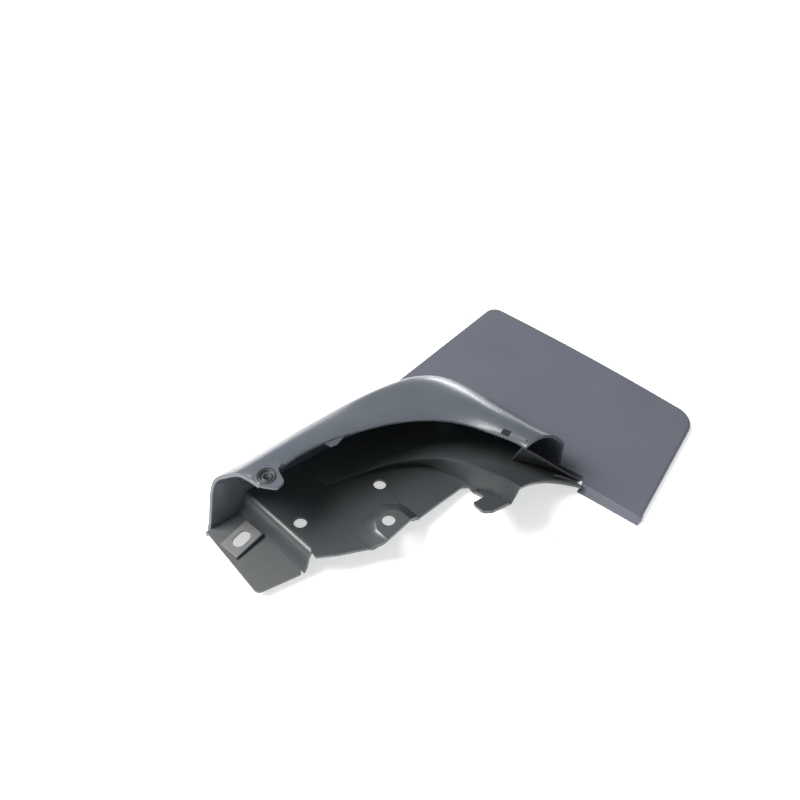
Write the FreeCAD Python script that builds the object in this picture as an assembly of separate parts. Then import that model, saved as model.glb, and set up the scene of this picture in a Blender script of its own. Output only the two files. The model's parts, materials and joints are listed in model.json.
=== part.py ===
import FreeCAD, Part
import math
import os

# Vehicle mud flap, right-hand pattern, lying with its flap face up (millimetres).
# X runs along the outboard edge from the mounting flange to the free end of the flap,
# Y points outboard and +Z is up. Shapes are laid out from the outboard toe of the
# flange and moved at the end, so that the origin is the middle of the footprint.

V = FreeCAD.Vector

# ---------------------------------------------------------------- driving dimensions
LENGTH = 340.0              # toe of the flange to the outboard far corner of the flap
BLADE_TOP = 7.0             # height of the flap face
BLADE_SKIN = 2.8            # thickness of the flap face
SKIRT = 2.8                 # thickness of the turned-down lip round the flap
BLADE_CREST = 2.6           # rounding of the flap's upper edge

FAR_INBOARD = (352.0, -210.0)    # corners of the flap face, seen from above
NEAR_INBOARD = (236.0, -232.6)
NEAR_STEP = (231.8, -180.6)
STEP_BACK = (237.5, -177.6)
LIP_FOOT_STEP = (226.4, -179.4)  # foot of the lip that slopes down from the near edge
LIP_FOOT_INBOARD = (232.4, -231.4)
LIP_DROP = 0.4                   # how far the lip starts below the flap face
LIP_TOE = 1.2                    # upright part at the foot of the lip
FAR_EDGE_BOW = 2.5               # how far the far edge bows outward

WALL = 2.8                  # wall of the wrap, the panel and the web
FOOT_LAP = 3.4              # how far the flap reaches in under the foot of the wrap

PANEL_Z = 28.0              # height of the panel beside the step
PANEL_SLOPE = 0.14          # fall of the panel per mm towards the flap
FLANGE_Z = 10.0             # height of the flange
STEP_FOOT_X = 26.3          # foot of the step from the flange up to the panel
STEP_RISE = [(0.0, 0.0), (2.8, 3.2), (5.2, 9.4), (7.3, 14.7), (9.9, 17.2)]   # run, rise of its face
STEP_THICK = (1.2, 0.0, -2.6)
PANEL_START = 40.0          # where the step has run out into the panel

PANEL_HOLE_R = 5.0          # clip holes in the panel
PANEL_HOLES = [(47.7, -57.0), (116.9, -70.6)]
DOME_HOLE = (91.0, -105.6)
DOME_Z = 33.0
DOME_BASE = 12.0
DOME_FOOT = [(58.5, -122.0, 1.0), (60.5, -93.0, 12.0), (72.5, -78.5, 12.0), (107.0, -78.5, 14.0),
             (119.0, -94.0, 12.0), (119.5, -122.0, 1.0)]        # outline at the base, with corner radii
DOME_TOP = [(77.0, -122.0, 1.0), (77.5, -105.0, 5.0), (83.0, -97.5, 6.0), (97.0, -97.5, 6.5),
            (103.5, -104.5, 6.0), (103.5, -122.0, 1.0)]
DOME_WAYS = [(-1.0, 0.0), (-1.0, 0.3), (-0.4, 1.0), (0.4, 1.0), (1.0, 0.3), (1.0, 0.0)]
DOME_ROUND = [(3.0, 0.0), (1.2, 0.35), (0.3, 0.9), (0.0, 1.6)]   # rounded rim: drop below the top, inset
DOME_INSET = 3.5
SLOT_LENGTH = 14.8          # oval fixing slot in the flange seat
SLOT_WIDTH = 9.8
SEAT_CENTRE = (13.2, -28.7)
SEAT_SIZE = (27.0, 19.0, 3.2)
SEAT_SKIN = 1.8
SEAT_TURN = 2.0             # degrees
SEAT_TILT = -4.0            # degrees

BOSS = (35.6, -44.2)        # screw eyelet on the free edge of the wrap
BOSS_TOP = 84.5
LUG_THICK = 2.2
EYELET_R = 7.0
EYELET_BORE_R = 2.3
EYELET_DEEP = 5.6
EYELET_RINGS = [(6.1, 6.6, 0.5), (3.8, 5.0, 1.3), (0.0, 3.8, 0.5)]   # grooves: radii and depth

# Wall profiles: reach from the foot in mm and share of the wall height, then, for the
# roof, share of what is left of the reach and of the way from the shoulder to the free edge.
UPRIGHT = ([(0.0, 0.0), (0.0, 0.30), (0.4, 0.60), (3.6, 0.80), (10.0, 0.93)],
           [(0.35, 0.75), (0.70, 1.0)])
FLANGE_END = ([(0.0, 0.0), (-0.3, 0.30), (-0.3, 0.56), (2.6, 0.675), (12.7, 0.815)],
              [(0.41, 0.74), (0.65, 0.895)])
FREE_END = ([(0.0, 0.0), (0.3, 0.30), (1.4, 0.455), (8.0, 0.655), (15.9, 0.83)],
            [(0.32, 1.0), (0.67, 1.4)])

# Stations of the wrap: foot on the flap, free edge, wall height, free edge height, lean of
# the station along X per mm of height, and how far its profile has turned into an end's.
STATIONS = [
    ((0.0, 0.0), (27.0, -45.5), 84.0, 84.0, 0.31, FLANGE_END, 1.0),
    ((38.0, -5.5), (46.0, -44.0), 80.2, 83.0, 0.10, FLANGE_END, 0.4),
    ((75.0, -9.0), (79.0, -44.5), 74.6, 77.5, 0.0, FLANGE_END, 0.1),
    ((108.0, -12.0), (108.0, -52.0), 70.0, 73.0, 0.0, UPRIGHT, 0.0),
    ((140.0, -16.0), (138.0, -63.0), 66.6, 67.0, 0.0, UPRIGHT, 0.0),
    ((168.0, -21.5), (155.0, -72.5), 65.3, 63.5, 0.0, FREE_END, 0.1),
    ((195.0, -28.0), (166.5, -82.0), 62.0, 61.5, 0.0, FREE_END, 0.3),
    ((214.0, -39.0), (173.5, -91.0), 58.2, 61.0, 0.0, FREE_END, 0.45),
    ((225.0, -60.0), (179.0, -101.5), 57.5, 61.0, 0.0, FREE_END, 0.6),
    ((231.0, -88.0), (183.0, -113.0), 57.2, 61.0, 0.0, FREE_END, 0.75),
    ((234.5, -120.0), (187.5, -128.0), 58.2, 61.0, 0.0, FREE_END, 0.9),
    ((236.7, -156.0), (191.5, -148.0), 63.0, 60.5, 0.0, FREE_END, 1.0),
]

# Ridge between the panel and the valley beside the wrap: crest and foot, seen along it.
RIDGE_START = 85.0
RIDGE_CREST = [(85.0, -43.0, 21.2), (111.0, -55.5, 24.0), (139.0, -71.0, 25.5), (156.5, -87.0, 26.5),
               (168.0, -103.0, 28.0), (172.0, -119.5, 31.0), (170.0, -135.2, 40.0), (166.0, -151.4, 51.0),
               (161.0, -168.5, 62.0)]
RIDGE_FOOT = [(85.0, -43.0, 20.0), (113.0, -53.0, 16.2), (143.0, -67.0, 12.0), (157.0, -82.0, 10.2),
              (164.5, -102.0, 9.2), (168.0, -122.0, 7.6), (164.3, -141.5, 21.5), (159.5, -154.0, 34.0),
              (155.0, -166.5, 45.5)]
WEB_WALL = (2.2, 1.8, -1.6)      # thickness of the ridge wall, measured away from the panel
VALLEY_DROP = [21.1, 16.6, 12.2, 8.4, 5.2, 4.6, 4.2, 3.8, 3.4]   # valley height, from x 75 on
WEB_TIP = (228.0, -176.5)        # the web's tip is cut off square here, clear of the flap's lip
WEB_END = [(236.0, -188.0), (221.0, -179.4), (212.0, -173.5), (202.0, -168.6), (193.0, -166.0),
           (177.0, -165.0), (166.5, -166.5), (150.0, -170.0)]

GUSSET_TOP = [(190.5, -147.5, 61.0), (208.0, -158.0, 38.0), (221.0, -165.5, 20.0), (232.5, -178.6, 6.5)]
GUSSET_THICK = (1.3, 1.8, 0.0)
GUSSET_LEAN = (0.28, 0.38)       # how far the gusset's foot lies in under the wrap, per mm of height
RIB_TOP = [(211.0, -166.5, 24.5), (219.5, -171.8, 16.5), (229.3, -179.0, 7.0)]   # rib beside the gusset
RIB_THICK = (0.8, 1.2, 0.0)
TRIM_LINE = [(190.9, -133.6, 62.1), (192.6, -140.0, 62.0), (193.8, -146.4, 61.6)]   # edge of the strip
TRIM_WIDTH = 3.4
TRIM_RISE = 1.7
TRIM_THICK = 1.0
CLIP_LINE = [(188.8, -127.0, 61.7), (190.5, -133.2, 61.5)]    # lower edge of the foam pad
CLIP_SIZE = (4.0, 1.8, 1.5)     # width, rise across it, thickness

TAB_ORIGIN = (133.0, -162.0, 56.0)   # locating tab: a place on its upper face and its slopes
TAB_SLOPE_X = -0.519
TAB_SLOPE_Y = -0.780
TAB_PLAN = [(156.5, -165.4, 0.8), (136.0, -164.0, 3.0), (132.6, -158.5, 4.0), (139.2, -147.5, 9.0),
            (144.6, -140.6, 1.6), (158.5, -140.6, 6.0), (164.0, -129.0, 14.0), (166.4, -120.0, 0.0),
            (172.0, -119.0, 0.0), (173.0, -126.0, 0.0), (168.0, -142.0, 0.0)]

# ---------------------------------------------------------------- helpers
def panel_z(x):
    """Height of the panel's upper face at a place along the part."""
    return PANEL_Z - PANEL_SLOPE * (x - 36.0)


def outline(corners):
    """Closed wire in the XY plane through (x, y, radius) corners, each rounded by its radius."""
    points = [V(x, y, 0) for x, y, _ in corners]
    count = len(points)
    starts, ends, arcs = [], [], []
    for i, (_, _, radius) in enumerate(corners):
        here = points[i]
        back = (points[i - 1] - here).normalize()
        ahead = (points[(i + 1) % count] - here).normalize()
        if radius <= 0:
            starts.append(here)
            ends.append(here)
            arcs.append(None)
            continue
        half = back.getAngle(ahead) / 2.0
        reach = radius / math.tan(half)
        middle = (back + ahead).normalize()
        centre = here + middle * (radius / math.sin(half))
        start, end = here + back * reach, here + ahead * reach
        starts.append(start)
        ends.append(end)
        arcs.append(Part.Arc(start, centre - middle * radius, end).toShape())
    edges = []
    for i in range(count):
        if arcs[i] is not None:
            edges.append(arcs[i])
        follow = starts[(i + 1) % count]
        if (follow - ends[i]).Length > 1e-6:
            edges.append(Part.LineSegment(ends[i], follow).toShape())
    return Part.Wire(Part.__sortEdges__(edges))


def slab(wire, low, high):
    """Solid between two heights over a closed wire drawn at height 0."""
    face = Part.Face(wire)
    face.translate(V(0, 0, low))
    return face.extrude(V(0, 0, high - low))


def curve(points):
    """Smooth edge through the points."""
    spline = Part.BSplineCurve()
    spline.interpolate([V(*p) for p in points])
    return spline.toShape()


def sheet(rail_a, rail_b, thickness):
    """Plate of the given thickness pushed off the ruled surface between two edges."""
    return Part.makeRuledSurface(rail_a, rail_b).extrude(thickness)


def post(x, y, radius, low, high):
    """Upright cylinder between two heights."""
    return Part.makeCylinder(radius, high - low, V(x, y, low))


def clean(shape):
    """Merges faces of one surface left by a Boolean operation."""
    return shape.removeSplitter()


def largest(shape):
    """The main body of a shape, without the crumbs that a cut leaves."""
    return clean(max(shape.Solids, key=lambda solid: solid.Volume))


# ---------------------------------------------------------------- flap
def foot_line(inset):
    """The foot of the wrap, moved inward from its outer face by inset."""
    points = []
    for foot, edge, _, _, _, _, _ in STATIONS:
        way = V(edge[0] - foot[0], edge[1] - foot[1], 0).normalize()
        points.append((foot[0] + way.x * inset, foot[1] + way.y * inset, 0.0))
    return points


def inside_wrap():
    """Everything on the inboard side of the middle of the wrap's wall."""
    line = foot_line(WALL / 2.0)
    first, last = V(*line[0]), V(*line[-1])
    corners = [last, V(last.x, -260, 0), V(-30, -260, 0), V(-30, first.y, 0), first]
    edges = [curve(line)]
    for a, b in zip(corners[:-1], corners[1:]):
        edges.append(Part.LineSegment(a, b).toShape())
    prism = Part.Face(Part.Wire(edges)).extrude(V(0, 0, 150))
    prism.translate(V(0, 0, -20))
    return prism


def blade_face():
    """Plan of the flap with the strip that follows the outboard edge to the flange."""
    inner = foot_line(FOOT_LAP)
    inner[0] = (3.0, -3.4, 0.0)
    mid = V((LENGTH + FAR_INBOARD[0]) / 2.0 + FAR_EDGE_BOW, FAR_INBOARD[1] / 2.0, 0)
    toe = V(0, 0, 0)
    corner = V(LENGTH, 0, 0)
    far = V(FAR_INBOARD[0], FAR_INBOARD[1], 0)
    near = V(NEAR_INBOARD[0], NEAR_INBOARD[1], 0)
    step = V(NEAR_STEP[0], NEAR_STEP[1], 0)
    back = V(STEP_BACK[0], STEP_BACK[1], 0)
    last = V(*inner[-1])
    rail = curve(inner)
    edges = [
        Part.LineSegment(toe, corner).toShape(),
        Part.Arc(corner, mid, far).toShape(),
        Part.LineSegment(far, near).toShape(),
        Part.LineSegment(near, step).toShape(),
        Part.LineSegment(step, back).toShape(),
        Part.LineSegment(back, last).toShape(),
        rail,
        Part.LineSegment(V(*inner[0]), toe).toShape(),
    ]
    return Part.Face(Part.Wire(edges))


def pocket_face():
    """Plan of the recess under the flap, inside its turned-down lip."""
    strip_x = 120.0
    points = [(strip_x, -SKIRT, 3.0), (LENGTH - SKIRT, -SKIRT, 11.0),
              (FAR_INBOARD[0] - SKIRT, FAR_INBOARD[1] + SKIRT, 18.0),
              (FAR_INBOARD[0] - 24.0, -260.0, 0.0), (NEAR_INBOARD[0] + SKIRT, -260.0, 0.0),
              (NEAR_INBOARD[0] + SKIRT, NEAR_INBOARD[1] + SKIRT + 0.5, 0.0),
              (NEAR_STEP[0] + SKIRT + 0.2, NEAR_STEP[1] - SKIRT, 2.0),
              (STEP_BACK[0] + SKIRT, STEP_BACK[1] - SKIRT, 2.0),
              (STEP_BACK[0] + SKIRT, -120.0, 20.0), (230.0, -60.0, 20.0),
              (217.0, -34.0, 20.0), (190.0, -22.5, 20.0), (strip_x, -9.5, 3.0)]
    return Part.Face(outline(points))


def vertical_edges(shape, places, reach=1.5):
    """Upright edges of a shape that stand at the given places."""
    found = []
    for edge in shape.Edges:
        a, b = edge.Vertexes[0].Point, edge.Vertexes[-1].Point
        upright = abs(a.x - b.x) < 1e-3 and abs(a.y - b.y) < 1e-3 and abs(a.z - b.z) > 1.0
        if upright and any(abs(a.x - x) < reach and abs(a.y - y) < reach for x, y in places):
            found.append(edge)
    return found


def make_near_lip():
    """Lip that slopes outward and down from the near edge of the flap."""
    ends = ((NEAR_STEP, LIP_FOOT_STEP), (NEAR_INBOARD, LIP_FOOT_INBOARD))
    sections = []
    for top, foot in ends:
        y, back, crest = top[1], top[0] + SKIRT, BLADE_TOP - LIP_DROP
        corners = [(foot[0], 0.0), (foot[0], LIP_TOE), (top[0], crest), (back, crest), (back, 0.0)]
        places = [V(x, y, z) for x, z in corners]
        sections.append(Part.makePolygon(places + places[:1]))
    return Part.makeLoft(sections, True, True)


def make_flap_blade():
    body = blade_face().extrude(V(0, 0, BLADE_TOP))
    for place, radius in (((LENGTH, 0.0), 11.0), (FAR_INBOARD, 19.0)):
        body = body.makeFillet(radius, vertical_edges(body, [place]))
    rounded = []
    for edge in body.Edges:
        box = edge.BoundBox
        at_top = box.ZMin > BLADE_TOP - 1e-3
        outer = box.XMax > LENGTH - 12.0
        if at_top and outer and box.YMin < -0.5 or (at_top and box.XLength > 300 and box.YLength < 1):
            rounded.append(edge)
    body = body.makeFillet(BLADE_CREST, rounded)
    recess = pocket_face().extrude(V(0, 0, BLADE_TOP - BLADE_SKIN))
    return clean(body.fuse(make_near_lip()).cut(recess))


# ---------------------------------------------------------------- wrap
def blended(end, share):
    """Wall and roof profile between the upright one and an end's."""
    mix = []
    for plain, turned in zip(UPRIGHT, end):
        mix.append([(a + (c - a) * share, b + (d - b) * share) for (a, b), (c, d) in zip(plain, turned)])
    return mix


def station_section(foot, edge, wall_z, edge_z, lean, end, share):
    """Outer points of one cross-section of the wrap, from its foot to its free edge."""
    rise = wall_z - BLADE_TOP
    run = V(edge[0] - foot[0] - lean * edge_z, edge[1] - foot[1], 0)
    way = V(run.x, run.y, 0).normalize()
    wall, roof = blended(end, share)
    profile = [(reach, BLADE_TOP + up * rise) for reach, up in wall]
    shoulder, shoulder_z = profile[-1]
    for out, up in roof:
        reach = shoulder + out * (run.Length - shoulder)
        profile.append((reach, shoulder_z + up * (edge_z - shoulder_z)))
    profile.append((run.Length, edge_z))
    outer, inner = [], []
    for i, (reach, height) in enumerate(profile):
        low, high = profile[max(i - 1, 0)], profile[min(i + 1, len(profile) - 1)]
        slope = math.atan2(high[1] - low[1], high[0] - low[0])
        if i == 0:
            slope = math.pi / 2.0
        in_reach = reach + WALL * math.sin(slope)
        in_height = height - WALL * math.cos(slope)
        for bucket, (r, h) in ((outer, (reach, height)), (inner, (in_reach, in_height))):
            bucket.append(V(foot[0] + way.x * r + lean * h, foot[1] + way.y * r, h))
    return outer, inner


def section_wire(outer, inner):
    """Closed C-shaped wire of one station."""
    edges = [curve(outer), Part.LineSegment(outer[-1], inner[-1]).toShape(),
             curve(inner[::-1]), Part.LineSegment(inner[0], outer[0]).toShape()]
    return Part.Wire(edges)


def make_boss_lug():
    """Flat lug on the free edge of the wrap that carries the screw eyelet."""
    lug = outline([(26.3, -37.5, 0.0), (26.9, -47.5, 4.0), (33.4, -57.2, 2.6), (40.9, -56.6, 3.2),
                   (44.8, -44.8, 4.0), (50.0, -43.6, 0.0), (50.0, -38.0, 0.0)])
    return slab(lug, BOSS_TOP - LUG_THICK, BOSS_TOP)


def make_edge_fin():
    """Small stiffening fin that hangs from the free edge, half way along the wrap."""
    corners = [V(86.0, -44.6, 75.6), V(105.0, -50.4, 72.8), V(93.5, -52.2, 72.2), V(88.8, -50.8, 72.8)]
    return Part.Face(fin_plane(corners)).extrude(V(0.2, 0.6, -1.6))


def fin_plane(corners):
    """Closed outline of the fin, with its fourth corner dropped onto the plane of the other three."""
    a, b, c, d = corners
    normal = (b - a).cross(c - a).normalize()
    d = d - normal * (d - a).dot(normal)
    return Part.makePolygon([a, b, c, d, a])


def make_outer_wrap():
    sections = [section_wire(*station_section(*station)) for station in STATIONS]
    shell = Part.makeLoft(sections, True, False)
    shell = shell.fuse([make_boss_lug(), make_edge_fin()])
    seat = post(BOSS[0], BOSS[1], EYELET_R, BOSS_TOP - 14.0, BOSS_TOP + 3.0)
    return clean(shell.cut(seat))


def ring_cutter(inner, outer, low):
    """Ring-shaped room from a height up through the top of the eyelet."""
    x, y = BOSS
    return post(x, y, outer, low, BOSS_TOP + 1.0).cut(post(x, y, inner, low - 1.0, BOSS_TOP + 2.0))


def make_boss_eyelet():
    """Stepped compression eyelet pressed into the boss lug."""
    x, y = BOSS
    low = BOSS_TOP - EYELET_DEEP
    sleeve = post(x, y, EYELET_R, BOSS_TOP - LUG_THICK, BOSS_TOP + 0.15)
    sleeve = sleeve.fuse(post(x, y, EYELET_R - 1.8, low, BOSS_TOP))
    for inner, outer, depth in EYELET_RINGS:
        sleeve = sleeve.cut(ring_cutter(inner, outer, BOSS_TOP - depth))
    bore = post(x, y, EYELET_BORE_R, low - 1.0, BOSS_TOP + 1.0)
    return clean(sleeve.cut(bore))


# ---------------------------------------------------------------- mounting panel
def make_flange():
    plan = outline([(-0.5, -3.5, 0.0), (-7.6, -69.5, 5.0), (26.3, -81.3, 2.5),
                    (STEP_FOOT_X + 1.5, -60.0, 0.0), (STEP_FOOT_X + 1.5, -3.5, 0.0)])
    return slab(plan, FLANGE_Z - WALL, FLANGE_Z)


def step_profile(y, foot_x):
    """Rise of the step at one place: hollow at its foot, rounded into the panel at its top."""
    points = [(foot_x + run, y, FLANGE_Z + rise) for run, rise in STEP_RISE]
    points += [(x, y, panel_z(x)) for x in (PANEL_START - 1.5, PANEL_START)]
    return curve(points)


def make_step():
    """Hollow-faced step from the flange up to the panel."""
    return sheet(step_profile(-2.0, STEP_FOOT_X + 1.0), step_profile(-81.6, STEP_FOOT_X), V(*STEP_THICK))


def panel_plate(wire):
    """Sloping plate of the panel over a plan outline."""
    block = slab(wire, -20.0, 60.0)
    span = 400.0
    low, high = panel_z(-20.0), panel_z(span)
    side = Part.makePolygon([V(-20, 20, low - WALL), V(span, 20, high - WALL), V(span, 20, high),
                             V(-20, 20, low), V(-20, 20, low - WALL)])
    layer = Part.Face(side).extrude(V(0, -300, 0))
    return block.common(layer)


def make_main_plate():
    """Main field of the panel, from the step to the notch."""
    ridge = [(x + 2.0, y + 1.0, 0.0) for x, y, _ in RIDGE_FOOT[1:6]]
    points = [(PANEL_START, 10.0, 0.0), (RIDGE_START, 10.0, 0.0), (RIDGE_START, -42.0, 0.0)] + ridge
    points += [(169.0, -126.0, 0.0), (166.0, -125.5, 0.0), (166.6, -119.0, 1.5), (162.0, -115.5, 2.0),
               (140.0, -114.3, 60.0), (113.0, -113.3, 4.0), (104.5, -117.0, 5.0), (77.5, -117.0, 5.0),
               (67.5, -107.4, 6.0), (48.0, -96.3, 40.0), (35.2, -87.4, 2.0), (36.8, -80.5, 0.0),
               (PANEL_START, -80.5, 0.0)]
    return panel_plate(outline(points))


def dome_outline(height, grow):
    """Outline of the dome at a height, moved outward by grow."""
    share = (height - DOME_BASE) / (DOME_Z - DOME_BASE)
    corners = []
    for low, high, way in zip(DOME_FOOT, DOME_TOP, DOME_WAYS):
        x, y, radius = [a + (b - a) * share for a, b in zip(low, high)]
        corners.append((x + way[0] * grow, y + way[1] * grow, radius))
    wire = outline(corners)
    wire.translate(V(0, 0, height))
    return wire


def dome_hollow():
    """Room under the dome."""
    room = [dome_outline(DOME_BASE - 4.0, -DOME_INSET), dome_outline(DOME_Z - WALL, -DOME_INSET)]
    return Part.makeLoft(room, True, True)


def make_dome():
    """Raised dome at the free edge of the panel, open underneath and at the edge."""
    layers = [dome_outline(DOME_BASE, 0.0)]
    layers += [dome_outline(DOME_Z - drop, -grow) for drop, grow in DOME_ROUND]
    shell = Part.makeLoft(layers, True, True).cut(dome_hollow())
    keep = slab(outline([(50, -60, 0), (135, -60, 0), (135, -113.2, 0), (113, -113.3, 3),
                         (104.5, -116.8, 5), (77.5, -116.8, 5), (67.5, -107.2, 4),
                         (50.0, -97.5, 0)]), 0.0, 60.0)
    return shell.common(keep)


def above_panel():
    """Everything above the underside of the panel."""
    side = Part.makePolygon([V(-20, 20, panel_z(-20) - WALL), V(400, 20, panel_z(400) - WALL),
                             V(400, 20, 200), V(-20, 20, 200), V(-20, 20, panel_z(-20) - WALL)])
    return Part.Face(side).extrude(V(0, -300, 0))


def make_mounting_panel():
    plate = make_main_plate()
    plate = plate.cut(dome_hollow())
    dome = make_dome().common(above_panel())
    panel = plate.fuse([dome, make_step(), make_flange()])
    for x, y in PANEL_HOLES:
        panel = panel.cut(post(x, y, PANEL_HOLE_R, 0, 60))
    panel = panel.cut(post(DOME_HOLE[0], DOME_HOLE[1], PANEL_HOLE_R, 0, 60))
    return clean(panel.cut(seat_room()))


# ---------------------------------------------------------------- flange seat
def seat_frame(shape):
    """Turns and tilts a shape drawn about the seat's centre into its place on the flange."""
    shape.rotate(V(0, 0, 0), V(0, 1, 0), SEAT_TILT)
    shape.rotate(V(0, 0, 0), V(0, 0, 1), SEAT_TURN)
    shape.translate(V(SEAT_CENTRE[0], SEAT_CENTRE[1], FLANGE_Z))
    return shape


def slot_cutter():
    """Oval prism for the fixing slot."""
    half = (SLOT_LENGTH - SLOT_WIDTH) / 2.0
    radius = SLOT_WIDTH / 2.0
    ends = [post(x, 0, radius, -20, 30) for x in (-half, half)]
    bar = Part.makeBox(2 * half, 2 * radius, 50, V(-half, -radius, -20))
    return seat_frame(clean(bar.fuse(ends)))


def seat_room():
    """Room under the seat's skin, open downward through the flange."""
    long_side, wide, tall = SEAT_SIZE
    length, width = long_side - 2 * SEAT_SKIN, wide - 2 * SEAT_SKIN
    corner = V(-length / 2, -width / 2, -20.0)
    return seat_frame(Part.makeBox(length, width, 20.0 + tall - SEAT_SKIN, corner))


def make_flange_seat():
    """Raised hollow pad with the oval slot through its skin."""
    long_side, wide, tall = SEAT_SIZE
    block = Part.makeBox(long_side, wide, tall + 4.0, V(-long_side / 2, -wide / 2, -4.0))
    rims = [e for e in block.Edges if abs(e.CenterOfMass.z) > 0 and e.BoundBox.ZMax > 0.5]
    block = block.makeFillet(0.9, rims)
    seat = seat_frame(block).cut([seat_room(), slot_cutter()])
    above = Part.makeBox(80, 80, 40, V(-30, -75, FLANGE_Z))
    return clean(seat.common(above))


# ---------------------------------------------------------------- ridge, valley and tab
def valley_line():
    """Lowest line of the ramp, in the middle of the wrap's wall, then on to the notch."""
    line = foot_line(WALL / 2.0)[2:-1]
    points = [(x, y, z) for (x, y, _), z in zip(line, VALLEY_DROP)]
    points[0] = (RIDGE_START, points[0][1] - 1.0, VALLEY_DROP[0])
    return points + [(236.0, -190.0, 3.0)]


def make_ridge_web():
    """Ridge wall with the ramp behind it, which falls to the level of the flap."""
    crest = curve(RIDGE_CREST)
    ramp = sheet(crest, curve(valley_line()), V(0, 0, -WALL))
    wall = sheet(crest, curve(RIDGE_FOOT), V(*WEB_WALL))
    return ramp.fuse(wall).common(inside_wrap()).cut(beyond_web_end())


def web_tip():
    """Room for the flap's lip, where the tip of the web is cut off square."""
    return Part.makeBox(40.0, 40.0, 60.0, V(WEB_TIP[0], WEB_TIP[1] - 40.0, -10.0))


def beyond_web_end():
    """Room on the inboard side of the free edge of the web."""
    line = [(x, y, 0.0) for x, y in WEB_END]
    first, last = V(*line[0]), V(*line[-1])
    corners = [last, V(last.x, -260, 0), V(first.x, -260, 0), first]
    edges = [curve(line)]
    for a, b in zip(corners[:-1], corners[1:]):
        edges.append(Part.LineSegment(a, b).toShape())
    prism = Part.Face(Part.Wire(edges)).extrude(V(0, 0, 120))
    prism.translate(V(0, 0, -20))
    return prism


def under_ramp():
    """Room below the upper face of the ramp."""
    return sheet(curve(RIDGE_CREST), curve(valley_line()), V(0, 0, -70))


def tab_z(x, y):
    """Height of the tab's upper face."""
    return TAB_ORIGIN[2] + TAB_SLOPE_X * (x - TAB_ORIGIN[0]) + TAB_SLOPE_Y * (y - TAB_ORIGIN[1])


def make_locating_tab():
    """Flat tab with a hooked corner, between the ridge and the notch."""
    plan = slab(outline(TAB_PLAN), -40.0, 90.0)
    around = ((100, -200), (200, -200), (200, -90), (100, -90), (100, -200))
    corners = [V(x, y, tab_z(x, y)) for x, y in around]
    layer = Part.Face(Part.makePolygon(corners)).extrude(V(0, 0, -WALL * 1.3))
    return plan.common(layer)


def make_end_gusset():
    """Leaning gusset that closes the inboard end of the hollow, from the wrap to the flap."""
    low = [(x + GUSSET_LEAN[0] * z, y + GUSSET_LEAN[1] * z, 0.0) for x, y, z in GUSSET_TOP]
    return sheet(curve(GUSSET_TOP), curve(low), V(*GUSSET_THICK)).cut(under_ramp())


# ---------------------------------------------------------------- trim
def make_edge_trim():
    """Narrow sealing strip stuck along the free edge at the end of the short leg."""
    outer = [(x + TRIM_WIDTH, y + 0.6, z + TRIM_RISE) for x, y, z in TRIM_LINE]
    return sheet(curve(TRIM_LINE), curve(outer), V(0, 0, TRIM_THICK))


def make_edge_clip():
    """Small foam pad on the free edge, where the sealing strip begins."""
    start, end = [V(*p) for p in CLIP_LINE]
    wide, rise, tall = CLIP_SIZE
    across, up = V(wide, 0.4, rise), V(0, 0, tall)
    side = Part.makePolygon([start, start + across, start + across + up, start + up, start])
    return Part.Face(side).extrude(end - start)


def make_web_rib():
    """Low rib on the ramp beside the gusset; the two hold the end of the arch liner."""
    low = [(x, y, 0.0) for x, y, _ in RIB_TOP]
    return sheet(curve(RIB_TOP), curve(low), V(*RIB_THICK)).cut(under_ramp())


def main():
    os.makedirs("parts", exist_ok=True)
    blade = make_flap_blade()
    wrap = make_outer_wrap()
    web = largest(make_ridge_web().cut([wrap, blade]))
    panel = largest(make_mounting_panel().common(inside_wrap()).cut([wrap, blade, web]))
    seat = make_flange_seat().cut([wrap, panel])
    tab = largest(make_locating_tab().common(above_panel()).cut([web, panel]))
    gusset = largest(make_end_gusset().cut([wrap, blade, web]))
    eyelet = make_boss_eyelet()
    rib = largest(make_web_rib().cut([wrap, blade, web, gusset]))
    trim = largest(make_edge_trim().cut([wrap]))
    clip = largest(make_edge_clip().cut([wrap, trim]))
    web = largest(web.cut(web_tip()))
    pieces = {
        "flap_blade": blade, "outer_wrap": wrap, "mounting_panel": panel, "flange_seat": seat,
        "ridge_web": web, "locating_tab": tab, "end_gusset": gusset, "boss_eyelet": eyelet,
        "edge_trim": trim, "edge_clip": clip, "web_rib": rib,
    }
    box = FreeCAD.BoundBox()
    for shape in pieces.values():
        box.add(shape.optimalBoundingBox(False, False))
    move = V(-box.Center.x, -box.Center.y, -box.ZMin)
    print("frame shift", move, "size", box.XLength, box.YLength, box.ZLength)
    for name, shape in pieces.items():
        shape.translate(move)
        print(name, shape.ShapeType, "solids", len(shape.Solids), "valid", shape.isValid(),
              "volume", round(shape.Volume, 1))
        shape.exportStep("parts/" + name + ".step")


main()
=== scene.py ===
import json
import math

import bpy
from mathutils import Matrix, Vector

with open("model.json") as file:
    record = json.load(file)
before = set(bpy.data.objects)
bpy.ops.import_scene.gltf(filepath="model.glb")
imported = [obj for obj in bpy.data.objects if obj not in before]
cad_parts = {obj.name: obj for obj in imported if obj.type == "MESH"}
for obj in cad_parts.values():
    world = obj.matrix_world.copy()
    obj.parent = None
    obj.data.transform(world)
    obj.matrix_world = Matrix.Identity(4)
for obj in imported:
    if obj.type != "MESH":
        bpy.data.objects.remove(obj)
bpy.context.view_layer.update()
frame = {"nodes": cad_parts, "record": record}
NODES = frame["nodes"]

# Camera: place in metres, viewing direction, direction to its right, and lens
EYE = Vector((-0.3272, -0.2390, 0.5754))
FORWARD = Vector((0.4684, 0.4511, -0.7597)).normalized()
RIGHT = Vector((0.6896, -0.7241, -0.0048)).normalized()
LENS_MM = 39.6
SENSOR_MM = 36.0
CLIP_NEAR = 0.01
CLIP_FAR = 50.0

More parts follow.
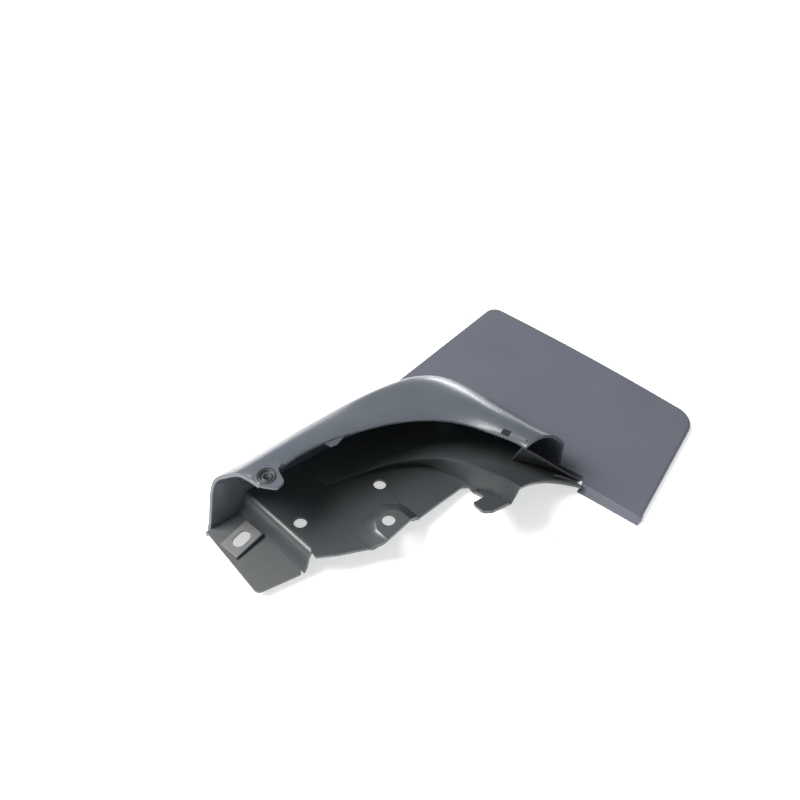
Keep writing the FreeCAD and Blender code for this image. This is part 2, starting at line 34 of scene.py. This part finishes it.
# Studio
FLOOR_SIZE = 8.0
FLOOR_CELLS = 8
FLOOR_GREY = 0.8
FLOOR_GLOW = 0.55          # the floor's own light, which keeps its shadows pale
SKY_TINT = (0.90, 0.95, 1.0)
SKY_STRENGTH = 0.36
SOFT_BOXES = [             # name, place, target, size, watts, tint
    ("overhead", (-0.62, 0.70, 1.35), (0.0, 0.0, 0.0), (0.9, 0.9), 60.0, (1.0, 0.98, 0.97)),
    ("behind", (1.70, 1.12, 0.12), (0.10, 0.03, 0.05), (0.45, 0.2), 9.0, (0.92, 0.98, 1.0)),
    ("left", (-1.5, -0.45, 0.55), (-0.12, -0.02, 0.02), (0.5, 0.5), 4.0, (0.86, 1.0, 0.95)),
]

# Edges of the mouldings
EDGE_ROUND = 0.00045       # width of the softened edge
EDGE_STEPS = 2
EDGE_ANGLE = 60.0          # degrees between faces from which an edge counts as sharp
WELD_GAP = 0.00001         # points nearer than this are joined before the edges are softened


# ---------------------------------------------------------------- camera
def make_camera():
    """Camera at the photograph's viewing angle."""
    data = bpy.data.cameras.new("camera")
    data.lens = LENS_MM
    data.sensor_width = SENSOR_MM
    data.clip_start = CLIP_NEAR
    data.clip_end = CLIP_FAR
    camera = bpy.data.objects.new("camera", data)
    bpy.context.scene.collection.objects.link(camera)
    up = RIGHT.cross(FORWARD)
    turn = Matrix((RIGHT, up, -FORWARD)).transposed()
    camera.matrix_world = Matrix.Translation(EYE) @ turn.to_4x4()
    bpy.context.scene.camera = camera


# ---------------------------------------------------------------- light and floor
def soft_light(name, place, target, size, power, tint):
    """Rectangular soft box at a place, turned to its target."""
    data = bpy.data.lights.new(name, "AREA")
    data.shape = "RECTANGLE"
    data.size, data.size_y = size
    data.energy = power
    data.color = tint
    lamp = bpy.data.objects.new(name, data)
    bpy.context.scene.collection.objects.link(lamp)
    lamp.location = place
    lamp.rotation_euler = (Vector(target) - Vector(place)).to_track_quat("-Z", "Y").to_euler()


def make_floor():
    """Pale floor that gives off a little light of its own."""
    bpy.ops.mesh.primitive_grid_add(x_subdivisions=FLOOR_CELLS, y_subdivisions=FLOOR_CELLS,
                                    size=FLOOR_SIZE)
    floor = bpy.context.object
    floor.name = "floor"
    paint = bpy.data.materials.new("floor")
    paint.use_nodes = True
    shader = paint.node_tree.nodes["Principled BSDF"]
    shader.inputs["Base Color"].default_value = (FLOOR_GREY, FLOOR_GREY, FLOOR_GREY, 1.0)
    shader.inputs["Roughness"].default_value = 0.95
    shader.inputs["Specular IOR Level"].default_value = 0.1
    shader.inputs["Emission Color"].default_value = (1.0, 1.0, 1.0, 1.0)
    shader.inputs["Emission Strength"].default_value = FLOOR_GLOW
    floor.data.materials.append(paint)


def make_sky():
    """Pale surroundings."""
    world = bpy.data.worlds.new("studio")
    bpy.context.scene.world = world
    world.use_nodes = True
    back = world.node_tree.nodes["Background"]
    back.inputs["Color"].default_value = (*SKY_TINT, 1.0)
    back.inputs["Strength"].default_value = SKY_STRENGTH


def make_studio():
    make_floor()
    make_sky()
    for box in SOFT_BOXES:
        soft_light(*box)


# ---------------------------------------------------------------- materials
class Paint:
    """Builds one procedural material: each method adds a node and gives its output."""

    def __init__(self, name):
        self.material = bpy.data.materials.new(name)
        self.material.use_nodes = True
        self.tree = self.material.node_tree
        self.shader = self.tree.nodes["Principled BSDF"]
        self.place = self.tree.nodes.new("ShaderNodeTexCoord").outputs["Object"]

    def noise(self, scale, detail=4.0, roughness=0.55, stretch=(1.0, 1.0, 1.0)):
        mapping = self.tree.nodes.new("ShaderNodeMapping")
        mapping.inputs["Scale"].default_value = stretch
        self.tree.links.new(self.place, mapping.inputs["Vector"])
        node = self.tree.nodes.new("ShaderNodeTexNoise")
        node.inputs["Scale"].default_value = scale
        node.inputs["Detail"].default_value = detail
        node.inputs["Roughness"].default_value = roughness
        self.tree.links.new(mapping.outputs["Vector"], node.inputs["Vector"])
        return node.outputs["Fac"]

    def grain(self, scale):
        node = self.tree.nodes.new("ShaderNodeTexVoronoi")
        node.inputs["Scale"].default_value = scale
        self.tree.links.new(self.place, node.inputs["Vector"])
        return node.outputs["Distance"]

    def ramp(self, value, stops):
        node = self.tree.nodes.new("ShaderNodeValToRGB")
        elements = node.color_ramp.elements
        while len(elements) < len(stops):
            elements.new(0.5)
        for element, (place, colour) in zip(elements, stops):
            element.position = place
            element.color = (*colour, 1.0)
        self.tree.links.new(value, node.inputs["Fac"])
        return node.outputs["Color"]

    def span(self, value, low, high, out_low, out_high):
        node = self.tree.nodes.new("ShaderNodeMapRange")
        limits = {"From Min": low, "From Max": high, "To Min": out_low, "To Max": out_high}
        for key, number in limits.items():
            node.inputs[key].default_value = number
        self.tree.links.new(value, node.inputs["Value"])
        return node.outputs["Result"]

    def bump(self, height, strength, distance, under=None):
        node = self.tree.nodes.new("ShaderNodeBump")
        node.inputs["Strength"].default_value = strength
        node.inputs["Distance"].default_value = distance
        self.tree.links.new(height, node.inputs["Height"])
        if under is not None:
            self.tree.links.new(under, node.inputs["Normal"])
        return node.outputs["Normal"]

    def feed(self, socket, value):
        self.tree.links.new(value, self.shader.inputs[socket])


def moulded_plastic(name, dark, light, rough, grain_depth=0.00005, specular=0.5):
    """Fine-grained moulded plastic: cloudy tint, leathery micro grain, uneven satin."""
    paint = Paint(name)
    clouds = paint.noise(22.0, 5.0, 0.6)
    paint.feed("Base Color", paint.ramp(clouds, [(0.3, dark), (0.72, light)]))
    smear = paint.noise(9.0, 3.0, 0.5, (1.0, 2.2, 1.0))
    paint.feed("Roughness", paint.span(smear, 0.3, 0.7, rough - 0.035, rough + 0.035))
    fine = paint.bump(paint.grain(1500.0), 0.25, grain_depth)
    soft = paint.bump(paint.noise(340.0, 3.0, 0.6), 0.2, grain_depth * 1.6, fine)
    paint.feed("Normal", soft)
    paint.shader.inputs["Specular IOR Level"].default_value = specular
    return paint.material


def foam(name, dark, light, rough):
    """Open, slightly crumbly surface of the sealing strip and the foam block."""
    paint = Paint(name)
    cells = paint.noise(900.0, 6.0, 0.7)
    paint.feed("Base Color", paint.ramp(cells, [(0.35, dark), (0.68, light)]))
    paint.feed("Roughness", paint.span(cells, 0.3, 0.7, rough - 0.08, rough + 0.08))
    paint.feed("Normal", paint.bump(cells, 0.7, 0.0004))
    paint.shader.inputs["Specular IOR Level"].default_value = 0.25
    return paint.material


def make_materials():
    """One material for each material slot in the record."""
    return {
        "flap_plastic": moulded_plastic(
            "flap_plastic", (0.072, 0.078, 0.098), (0.080, 0.086, 0.106), 0.42),
        "wrap_plastic": moulded_plastic(
            "wrap_plastic", (0.058, 0.066, 0.079), (0.065, 0.073, 0.086), 0.27),
        "panel_plastic": moulded_plastic(
            "panel_plastic", (0.034, 0.038, 0.040), (0.041, 0.045, 0.047), 0.38),
        "seat_plastic": moulded_plastic(
            "seat_plastic", (0.046, 0.050, 0.053), (0.054, 0.058, 0.061), 0.45),
        "eyelet_plastic": moulded_plastic(
            "eyelet_plastic", (0.025, 0.027, 0.03), (0.032, 0.034, 0.037), 0.3),
        "trim_rubber": foam(
            "trim_rubber", (0.045, 0.05, 0.054), (0.11, 0.12, 0.125), 0.7),
        "clip_foam": foam(
            "clip_foam", (0.006, 0.007, 0.008), (0.02, 0.022, 0.025), 0.85),
    }


def soften_edges(node):
    """Rounds the sharp edges of a CAD node a little, as moulded edges are."""
    weld = node.modifiers.new("weld", "WELD")
    weld.merge_threshold = WELD_GAP
    bevel = node.modifiers.new("edges", "BEVEL")
    bevel.width = EDGE_ROUND
    bevel.segments = EDGE_STEPS
    bevel.limit_method = "ANGLE"
    bevel.angle_limit = math.radians(EDGE_ANGLE)
    bevel.harden_normals = True


def dress_nodes(materials):
    """Gives every CAD node its detailed material and softly rounded edges."""
    for entry in frame["record"]["subparts"]:
        node = NODES[entry["node"]]
        for slot in node.material_slots:
            slot.material = materials[entry["material_slot"]]
        soften_edges(node)


make_camera()
make_studio()
dress_nodes(make_materials())
scene = bpy.context.scene
scene.view_settings.view_transform = "Standard"
scene.view_settings.look = "None"
